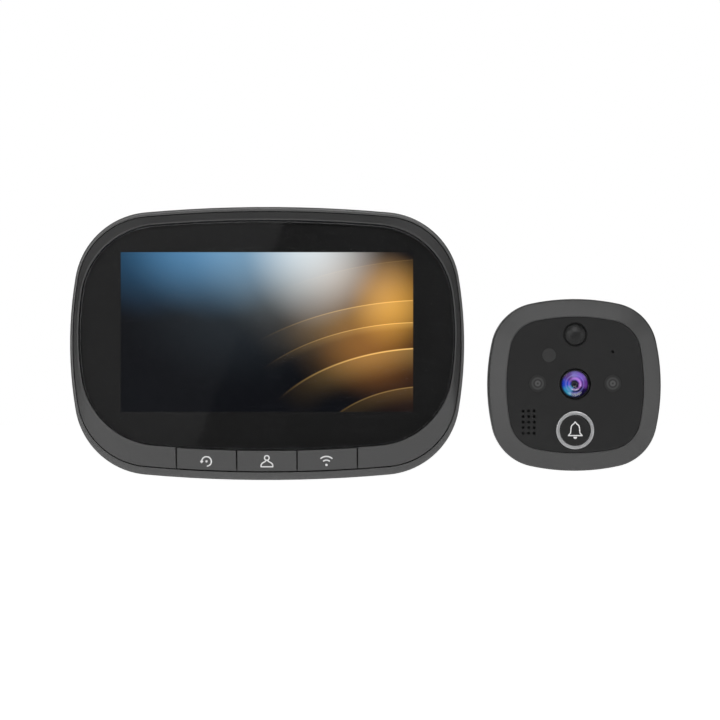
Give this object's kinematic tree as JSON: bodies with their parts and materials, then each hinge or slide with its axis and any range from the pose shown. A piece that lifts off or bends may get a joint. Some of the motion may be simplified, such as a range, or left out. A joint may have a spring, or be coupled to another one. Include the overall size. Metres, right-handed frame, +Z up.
{
  "type": "peephole door camera",
  "caption": "Peephole door camera: rounded indoor monitor with front keys that lifts off a steel door bracket, and a squarish outdoor unit with lens, motion sensor and bell button.",
  "frame": {"origin": "midway between the two screw slots of the monitor's door bracket, on the bracket's door face", "axes": "+Z up, -Y out of the door towards the viewer (both units face -Y), +X to the viewer's right, from the monitor to the outdoor unit; the door's surface is the plane Y = 0"},
  "size_m": [0.1926, 0.0168, 0.089],
  "materials": {
    "plated_steel": "satin",
    "screw_steel": "satin",
    "case_plastic": "fine matte texture",
    "bezel_plastic": "satin",
    "screen_glass": "polished clear sheet",
    "black_film": "smooth",
    "display_panel": "smooth",
    "circuit_board": "solder mask",
    "cell_wrap": "foil",
    "speaker_body": "matte",
    "connector_plastic": "matte",
    "switch_body": "satin",
    "switch_stud": "matte",
    "chip_black": "matte",
    "aerial_film": "film",
    "camera_plastic": "fine matte texture",
    "face_plastic": "polished",
    "soft_rubber": "matte",
    "brass": "machined",
    "lens_metal": "black anodised",
    "lens_glass": "coated",
    "tinted_window": "tinted",
    "lamp_epoxy": "clear",
    "pir_plastic": "satin",
    "ring_metal": "satin chrome"
  },
  "bodies": {
    "door_fixed": {"door_bracket": "plated_steel", "camera_housing": "camera_plastic", "camera_face": "face_plastic", "camera_back_cover": "case_plastic", "cover_screws": "screw_steel", "door_gasket": "soft_rubber", "threaded_inserts": "brass", "cable_grommet": "soft_rubber", "camera_board": "circuit_board", "board_header": "connector_plastic", "image_sensor": "chip_black", "lens_holder": "lens_metal", "lens_barrel": "lens_metal", "lens_glass": "lens_glass", "lamp_windows": "tinted_window", "infrared_lamps": "lamp_epoxy", "light_window": "tinted_window", "light_sensor": "lamp_epoxy", "pir_lens": "pir_plastic", "pir_sensor": "plated_steel", "microphone": "speaker_body", "camera_speaker": "speaker_body", "bell_ring": "ring_metal", "doorbell_switch": "switch_body"},
    "monitor": {"rear_housing": "case_plastic", "front_bezel": "bezel_plastic", "screen_window": "screen_glass", "screen_mask": "black_film", "lcd_module": "display_panel", "backlight_tray": "plated_steel", "main_board": "circuit_board", "board_screws": "screw_steel", "case_screws": "screw_steel", "battery_pack": "cell_wrap", "monitor_speaker": "speaker_body", "camera_cable_socket": "connector_plastic", "usb_socket": "plated_steel", "card_socket": "plated_steel", "power_switch": "switch_body", "processor_chip": "chip_black", "radio_module": "plated_steel", "wireless_aerial": "aerial_film", "key_switches": "switch_body"},
    "replay_button": {"replay_key": "bezel_plastic", "replay_plunger": "switch_stud"},
    "call_button": {"call_key": "bezel_plastic", "call_plunger": "switch_stud"},
    "wireless_button": {"wireless_key": "bezel_plastic", "wireless_plunger": "switch_stud"},
    "power_knob": {"power_slider": "case_plastic"},
    "bell_button": {"doorbell_button": "face_plastic", "doorbell_plunger": "switch_stud"}
  },
  "joints": [
    {"name": "monitor_lift", "type": "slide", "parent": "door_fixed", "child": "monitor", "axis": [0, 0, 1], "range_m": [0, 0.005]},
    {"name": "replay_press", "type": "slide", "parent": "monitor", "child": "replay_button", "axis": [0, 1, 0], "range_m": [0, 0.0005], "stiffness_N_per_m": 1000, "springref_m": -0.0006},
    {"name": "call_press", "type": "slide", "parent": "monitor", "child": "call_button", "axis": [0, 1, 0], "range_m": [0, 0.0005], "stiffness_N_per_m": 1000, "springref_m": -0.0006},
    {"name": "wireless_press", "type": "slide", "parent": "monitor", "child": "wireless_button", "axis": [0, 1, 0], "range_m": [0, 0.0005], "stiffness_N_per_m": 1000, "springref_m": -0.0006},
    {"name": "power_slide", "type": "slide", "parent": "monitor", "child": "power_knob", "axis": [0, 0, 1], "range_m": [0, 0.0025]},
    {"name": "doorbell_press", "type": "slide", "parent": "door_fixed", "child": "bell_button", "axis": [0, 1, 0], "range_m": [0, 0.0006], "stiffness_N_per_m": 1000, "springref_m": -0.0006}
  ]
}
